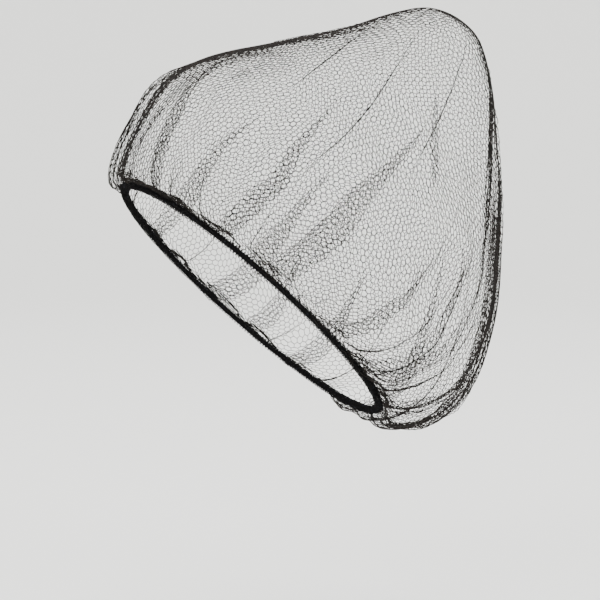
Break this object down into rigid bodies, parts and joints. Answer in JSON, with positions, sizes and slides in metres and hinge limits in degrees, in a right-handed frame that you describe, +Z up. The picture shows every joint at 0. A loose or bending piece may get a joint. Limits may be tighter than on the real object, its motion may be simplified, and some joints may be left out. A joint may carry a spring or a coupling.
{
  "type": "hairnet",
  "caption": "Bouffant hairnet of black honeycomb netting, gathered at its open edge into a covered elastic band, in its worn form over pinned-up hair.",
  "frame": {"origin": "centre of the elastic band's loop, where the net sits round the head", "axes": "+Z up for an upright wearer, -Y towards the wearer's face, +X towards the wearer's left"},
  "size_m": [0.1916, 0.2421, 0.2602],
  "materials": {
    "netting": "fine black nylon yarn, matt",
    "band": "black yarn covered elastic, matt and slightly fuzzy"
  },
  "bodies": {
    "root": {"net": "netting", "elastic_band": "band"}
  },
  "joints": []
}
